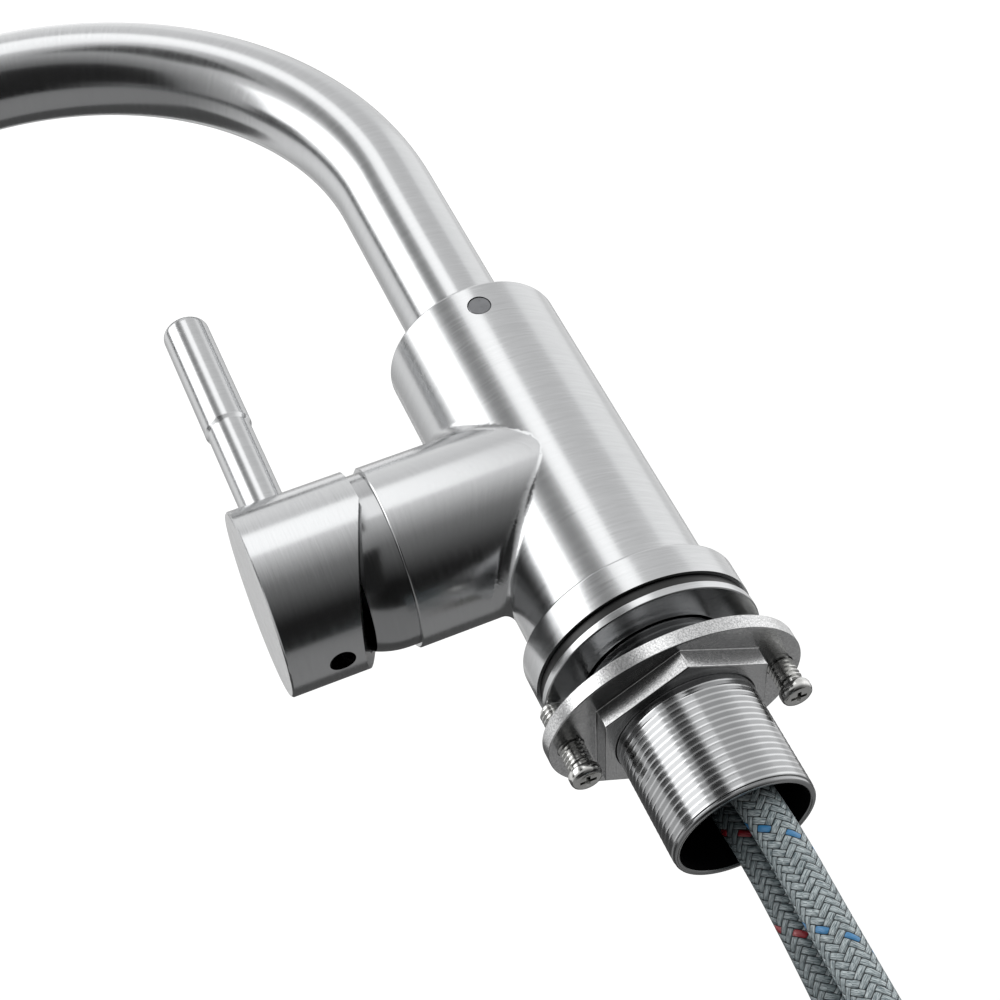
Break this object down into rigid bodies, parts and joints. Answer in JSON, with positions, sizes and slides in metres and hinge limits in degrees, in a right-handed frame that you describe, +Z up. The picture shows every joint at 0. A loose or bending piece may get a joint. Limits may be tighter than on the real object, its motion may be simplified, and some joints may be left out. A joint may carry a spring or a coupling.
{
  "type": "single hole bathroom faucet",
  "caption": "Upright brushed faucet with a high swivelling gooseneck spout, a front lever handle for flow and temperature, a threaded mounting shank and braided supply hoses.",
  "frame": {"origin": "point of the column's axis in the plane of the deck's top face, the gasket's underside", "axes": "+Z up along the column, -Y to the front, where spout and handle point, +X to the cold hose's side"},
  "size_m": [0.109, 0.2217, 0.5549],
  "materials": {
    "brushed_stainless": "brushed stainless steel",
    "threaded_stainless": "turned stainless thread",
    "blasted_casting": "sand-blasted casting",
    "plated_steel": "bright plated steel",
    "black_steel": "blackened steel",
    "turned_brass": "turned brass",
    "nickel_plated_brass": "nickel-plated brass",
    "black_rubber": "moulded rubber",
    "ceramic": "lapped white ceramic",
    "white_acetal": "moulded acetal",
    "cold_braid": "steel braid with a blue tracer over rubber hose",
    "hot_braid": "steel braid with a red tracer over rubber hose",
    "black_strap": "flat plastic strap"
  },
  "bodies": {
    "faucet_body": {"body_shell": "brushed_stainless", "base_ring": "brushed_stainless", "deck_gasket": "black_rubber", "mounting_shank": "threaded_stainless", "inlet_manifold": "turned_brass", "spout_socket": "turned_brass", "swivel_bush": "white_acetal", "spout_set_screw": "black_steel", "cartridge_seals": "black_rubber", "cartridge_base": "white_acetal", "fixed_disc": "ceramic", "cartridge_housing": "white_acetal", "retaining_nut": "turned_brass", "dome_cover": "brushed_stainless", "hose_tie": "black_strap", "cold_inlet_fitting": "nickel_plated_brass", "cold_hose": "cold_braid", "cold_hose_hank": "cold_braid", "cold_hose_tail": "nickel_plated_brass", "cold_union_washer": "black_rubber", "hot_inlet_fitting": "nickel_plated_brass", "hot_hose": "hot_braid", "hot_hose_hank": "hot_braid", "hot_hose_tail": "nickel_plated_brass", "hot_union_washer": "black_rubber"},
    "spout": {"spout_tube": "brushed_stainless", "spout_sleeve": "turned_brass", "spout_o_rings": "black_rubber", "aerator_housing": "brushed_stainless", "aerator_insert": "white_acetal", "aerator_gasket": "black_rubber"},
    "turret": {"turret": "white_acetal", "stem_pin": "plated_steel"},
    "mixing_disc": {"moving_disc": "ceramic", "disc_carrier": "white_acetal"},
    "handle": {"handle_cap": "brushed_stainless", "lever_rod": "brushed_stainless", "cartridge_stem": "plated_steel", "handle_set_screw": "black_steel"},
    "washer": {"clamp_washer": "plated_steel"},
    "nut": {"flange_nut": "blasted_casting"},
    "front_screw": {"clamp_screw_front": "plated_steel"},
    "rear_screw": {"clamp_screw_rear": "plated_steel"},
    "cold_union": {"cold_union_nut": "nickel_plated_brass"},
    "hot_union": {"hot_union_nut": "nickel_plated_brass"}
  },
  "joints": [
    {"name": "spout_swivel", "type": "hinge", "parent": "faucet_body", "child": "spout", "pos_m": [0, 0, 0.09], "axis": [0, 0, 1], "continuous": true},
    {"name": "temperature", "type": "hinge", "parent": "faucet_body", "child": "turret", "pos_m": [0, -0.043, 0.0486], "axis": [0, -1, 0], "range_deg": [-45, 45]},
    {"name": "lever_tilt", "type": "hinge", "parent": "turret", "child": "handle", "pos_m": [0, -0.043, 0.0486], "axis": [1, 0, 0], "range_deg": [0, 22]},
    {"name": "disc_slide", "type": "slide", "parent": "turret", "child": "mixing_disc", "axis": [0, 0, 1], "range_m": [0, 0.0044]},
    {"name": "washer_travel", "type": "slide", "parent": "faucet_body", "child": "washer", "axis": [0, 0, 1], "range_m": [-0.012, 0]},
    {"name": "nut_turn", "type": "hinge", "parent": "washer", "child": "nut", "pos_m": [0, 0, -0.013], "axis": [0, 0, 1], "range_deg": [-2880, 0]},
    {"name": "front_screw_travel", "type": "slide", "parent": "nut", "child": "front_screw", "axis": [0, 0, 1], "range_m": [-0.006, 0]},
    {"name": "rear_screw_travel", "type": "slide", "parent": "nut", "child": "rear_screw", "axis": [0, 0, 1], "range_m": [-0.006, 0]},
    {"name": "cold_union_turn", "type": "hinge", "parent": "faucet_body", "child": "cold_union", "pos_m": [-0.0562, 0.0072, -0.086], "axis": [0, 0, 1], "continuous": true},
    {"name": "hot_union_turn", "type": "hinge", "parent": "faucet_body", "child": "hot_union", "pos_m": [-0.074, -0.0042, -0.086], "axis": [0, 0, 1], "continuous": true}
  ],
  "couplings": [
    {"joint": "disc_slide", "follows": "lever_tilt", "m_per_rad": 0.01122},
    {"joint": "washer_travel", "follows": "nut_turn", "m_per_rad": 0.0002387}
  ]
}
